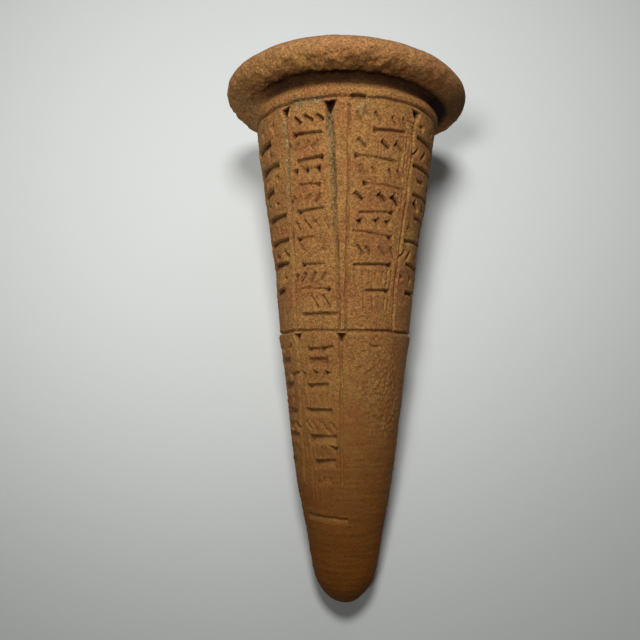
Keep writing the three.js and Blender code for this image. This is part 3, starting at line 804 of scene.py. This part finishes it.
# The head leans and nods a little, the nose drifts aside, and the whole is laid down on its two flats. What
# would pass under the floor is raised to it.
headness = add(
    moulding,
    "ShaderNodeMapRange",
    {0: at_station, 1: RIM_MIDDLE - HEAD_BLEND, 2: RIM_MIDDLE, 3: 0.0, 4: -1.0},
    interpolation_type="SMOOTHSTEP",
)
leaning_way = (tan(HEAD_LEAN), 0, -tan(HEAD_NOD))
slope = add(moulding, "ShaderNodeVectorMath", {0: here, 1: leaning_way}, operation="DOT_PRODUCT")
lean = add(moulding, "ShaderNodeMath", {0: headness, 1: slope.outputs["Value"]}, operation="MULTIPLY")
drift = add(
    moulding,
    "ShaderNodeMapRange",
    {0: at_station, 1: 0.0, 2: BOW_LENGTH, 3: BOW, 4: 0.0},
    interpolation_type="SMOOTHSTEP",
)
sway = add(moulding, "ShaderNodeCombineXYZ", {0: drift, 1: lean})
leaning = add(moulding, "GeometryNodeSetPosition", {"Geometry": worn, "Offset": sway})
laid = {"Geometry": leaning, "Translation": TIP, "Rotation": (TILT, 0, 0)}
lying = add(moulding, "GeometryNodeTransform", laid)
over_floor = add(moulding, "ShaderNodeVectorMath", {0: here, 1: (-1, -1, 0)}, operation="MAXIMUM")
rested = add(moulding, "GeometryNodeSetPosition", {"Geometry": lying, "Position": over_floor})
smooth = add(moulding, "GeometryNodeSetShadeSmooth", {0: rested})
whole = add(moulding, "GeometryNodeRealizeInstances", {0: smooth})
finished = add(moulding, "GeometryNodeSetMaterial", {"Geometry": whole, "Material": given["Clay"]})
add(moulding, "NodeGroupOutput", {0: finished})

modifier = cone.modifiers.new("moulding", "NODES")
modifier.node_group = moulding
for name, (_, value) in SETTINGS.items():
    modifier[sockets[name].identifier] = value
thinning = cone.modifiers.new("thinning", "DECIMATE")
thinning.ratio = MOST_TRIANGLES / (2 * rows * SETTINGS["Columns"][1])
evaluated = cone.evaluated_get(bpy.context.evaluated_depsgraph_get())
cone.data = bpy.data.meshes.new_from_object(evaluated)
cone.data.name = "foundation_cone_clay"
cone.modifiers.clear()
for done in (reed_prints, *reed_ends):
    bpy.data.objects.remove(done)
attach(cone, "root")
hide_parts("foundation_cone")

# The studio floor: a plain sheet of backdrop paper that the cone lies on, wide enough to fill the picture.
# It is one flat face, matt and pale grey.
FLOOR_HALF, FLOOR_ROUGHNESS = 1.5, 0.9
floor_mesh = bpy.data.meshes.new("studio_floor")
corners = [(-FLOOR_HALF, -FLOOR_HALF, 0), (FLOOR_HALF, -FLOOR_HALF, 0), (FLOOR_HALF, FLOOR_HALF, 0)]
floor_mesh.from_pydata([*corners, (-FLOOR_HALF, FLOOR_HALF, 0)], [], [(0, 1, 2, 3)])
studio_floor = bpy.data.objects.new("studio_floor", floor_mesh)
bpy.context.scene.collection.objects.link(studio_floor)
paper = bpy.data.materials.new("matt_backdrop_paper")
paper.use_nodes = True
paper_shader = paper.node_tree.nodes["Principled BSDF"]
paper_shader.inputs["Base Color"].default_value = linear("#d4d7d4")
paper_shader.inputs["Roughness"].default_value = FLOOR_ROUGHNESS
floor_mesh.materials.append(paper)

# The light: a small soft lamp close over the head, a beam from the left that is brightest on the head's end
# of the cone, a wide dim lamp behind the head, and a faint even light from all round.
HEAD_LAMP_PLACE, HEAD_LAMP_SIZE, HEAD_LAMP_POWER = Vector((-0.01, 0.075, 0.25)), 0.06, 0.385
BACK_PLACE, BACK_SIZE, BACK_POWER = Vector((0.2, 0.6, 0.3)), 0.4, 0.3
BEAM_PLACE, BEAM_TARGET = Vector((-0.135, -0.085, 0.45)), Vector((-0.025, 0.085, 0))
BEAM_SIZE, BEAM_POWER, BEAM_ANGLE = 0.05, 4.4, radians(41)
AIR_COLOUR, AIR_STRENGTH = linear("#e4e6e8"), 0.065
bpy.context.scene.view_settings.view_transform = "Standard"
world = bpy.data.worlds.new("studio_air")
world.use_nodes = True
world.node_tree.nodes["Background"].inputs["Color"].default_value = AIR_COLOUR
world.node_tree.nodes["Background"].inputs["Strength"].default_value = AIR_STRENGTH
bpy.context.scene.world = world
for name, stand, size, power in (
    ("head_lamp", HEAD_LAMP_PLACE, HEAD_LAMP_SIZE, HEAD_LAMP_POWER),
    ("back_fill", BACK_PLACE, BACK_SIZE, BACK_POWER),
):
    lamp_light = bpy.data.lights.new(name, "AREA")
    lamp_light.shape = "DISK"
    lamp_light.size = size
    lamp_light.energy = power
    lamp = bpy.data.objects.new(name, lamp_light)
    bpy.context.scene.collection.objects.link(lamp)
    lamp.location = stand
    lamp.rotation_euler = (-stand).to_track_quat("-Z", "Y").to_euler()
beam_light = bpy.data.lights.new("left_beam", "SPOT")
beam_light.energy = BEAM_POWER
beam_light.spot_size = BEAM_ANGLE
beam_light.spot_blend = 1
beam_light.shadow_soft_size = BEAM_SIZE
left_beam = bpy.data.objects.new("left_beam", beam_light)
bpy.context.scene.collection.objects.link(left_beam)
left_beam.location = BEAM_PLACE
left_beam.rotation_euler = (BEAM_TARGET - BEAM_PLACE).to_track_quat("-Z", "Y").to_euler()

# The camera: held over the shaft and looking down square to the cone's axis, but for a small pitch towards
# the head and a small roll. Its place is measured from the tip of the nose, along and square to the axis.
CAMERA_STATION, CAMERA_HEIGHT, CAMERA_ASIDE = 52.2 * MM, 170 * MM, -6.11 * MM
CAMERA_PITCH, CAMERA_ROLL = radians(5.0), radians(0.47)
CAMERA_SENSOR, CAMERA_LENS, CAMERA_NEAREST = 24, 26, 10 * MM
camera_data = bpy.data.cameras.new("camera")
camera_data.sensor_width = CAMERA_SENSOR
camera_data.lens = CAMERA_LENS
camera_data.clip_start = CAMERA_NEAREST
camera = bpy.data.objects.new("camera", camera_data)
bpy.context.scene.collection.objects.link(camera)
tripod = Matrix.Translation(TIP) @ Matrix.Rotation(TILT, 4, "X")
tripod @= Matrix.Translation((CAMERA_ASIDE, CAMERA_STATION, CAMERA_HEIGHT))
camera.matrix_world = tripod @ Matrix.Rotation(CAMERA_PITCH, 4, "X") @ Matrix.Rotation(CAMERA_ROLL, 4, "Z")
bpy.context.scene.camera = camera
